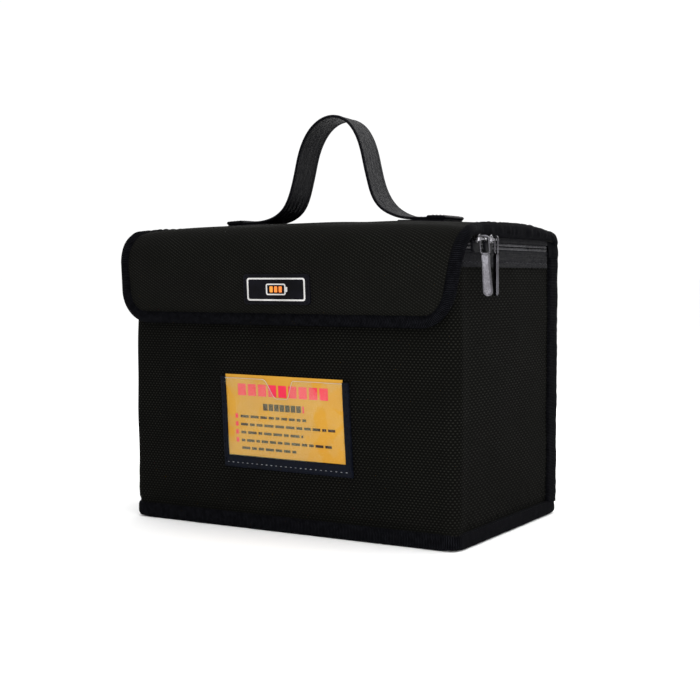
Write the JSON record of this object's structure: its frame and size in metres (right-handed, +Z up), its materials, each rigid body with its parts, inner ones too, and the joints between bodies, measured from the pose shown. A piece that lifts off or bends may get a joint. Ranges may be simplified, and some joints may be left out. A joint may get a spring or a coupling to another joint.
{
  "type": "padded battery storage bag",
  "caption": "Padded box bag for storing and charging model batteries: zipped lid with a front flap, webbing handle, label pocket and rubber badge.",
  "frame": {"origin": "middle of the box's base, on the surface it stands on", "axes": "+X to the side with the zipper pulls, -Y to the front with the flap, +Z up"},
  "size_m": [0.2293, 0.153, 0.2435],
  "materials": {
    "shell_fabric": "woven, matte, with a fine staggered dot grid",
    "flap_fabric": "woven, matte, fine diagonal rows",
    "insulation": "felted, matte",
    "liner_fabric": "coated glass-fibre cloth, slight sheen",
    "binding_tape": "ribbed, matte",
    "zip_tape": "fine herringbone, matte",
    "zip_coil": "satin nylon",
    "hook_and_loop": "napped, matte",
    "webbing": "close woven, slight sheen",
    "clear_film": "clear, glossy, creased",
    "card_stock": "printed, matte",
    "badge_rubber": "moulded, satin",
    "badge_relief": "moulded, satin",
    "badge_accent": "moulded, satin",
    "gunmetal": "plated gunmetal, satin"
  },
  "bodies": {
    "body": {"outer_wrap": "shell_fabric", "back_panel": "shell_fabric", "base_panel": "shell_fabric", "base_board": "insulation", "front_board": "insulation", "back_board": "insulation", "left_board": "insulation", "right_board": "insulation", "liner_walls": "liner_fabric", "liner_base": "liner_fabric", "bottom_binding": "binding_tape", "left_back_binding": "binding_tape", "right_back_binding": "binding_tape", "lower_zip_tape": "zip_tape", "lower_zip_coil": "zip_coil", "loop_strip": "hook_and_loop", "pocket_binding": "binding_tape", "pocket_window": "clear_film"},
    "card": {"label_card": "card_stock"},
    "lid": {"lid_cover": "shell_fabric", "lid_padding": "insulation", "lid_liner": "liner_fabric", "left_lid_binding": "binding_tape", "right_lid_binding": "binding_tape", "upper_zip_tape": "zip_tape", "upper_zip_coil": "zip_coil", "left_handle_pad": "webbing", "right_handle_pad": "webbing"},
    "flap": {"flap_cover": "flap_fabric", "flap_padding": "insulation", "flap_lining": "flap_fabric", "flap_binding": "binding_tape", "hook_strip": "hook_and_loop", "badge_base": "badge_rubber", "badge_border": "badge_relief", "badge_cell": "badge_relief", "badge_bars": "badge_accent"},
    "handle": {"handle_strap": "webbing"},
    "front_slider": {"front_slider": "gunmetal", "front_slider_bridge": "gunmetal"},
    "rear_slider": {"rear_slider": "gunmetal", "rear_slider_bridge": "gunmetal"},
    "front_pull": {"front_pull_ring": "gunmetal", "front_pull_tab": "gunmetal"},
    "rear_pull": {"rear_pull_ring": "gunmetal", "rear_pull_tab": "gunmetal"}
  },
  "joints": [
    {"name": "lid_hinge", "type": "hinge", "parent": "body", "child": "lid", "pos_m": [0, 0.0716, 0.162], "axis": [-1, 0, 0], "range_deg": [0, 110]},
    {"name": "flap_fold", "type": "hinge", "parent": "lid", "child": "flap", "pos_m": [0, -0.07065, 0.17245], "axis": [-1, 0, 0], "range_deg": [0, 165]},
    {"name": "handle_tilt", "type": "hinge", "parent": "lid", "child": "handle", "pos_m": [0, 0, 0.1811], "axis": [1, 0, 0], "range_deg": [-45, 45], "stiffness_Nm_per_rad": 0.02, "deforming": ["handle_strap"]},
    {"name": "front_slider_run", "type": "slide", "parent": "body", "child": "front_slider", "axis": [0, -1, 0], "range_m": [-0.004, 0.0008]},
    {"name": "rear_slider_run", "type": "slide", "parent": "body", "child": "rear_slider", "axis": [0, 1, 0], "range_m": [0, 0.086]},
    {"name": "front_pull_swing", "type": "hinge", "parent": "front_slider", "child": "front_pull", "pos_m": [0.1152, -0.053, 0.1652], "axis": [0, -1, 0], "range_deg": [0, 120]},
    {"name": "rear_pull_swing", "type": "hinge", "parent": "rear_slider", "child": "rear_pull", "pos_m": [0.1152, -0.038, 0.1652], "axis": [0, -1, 0], "range_deg": [0, 120]},
    {"name": "card_slide", "type": "slide", "parent": "body", "child": "card", "axis": [0, 0, 1], "range_m": [0, 0.028]}
  ]
}
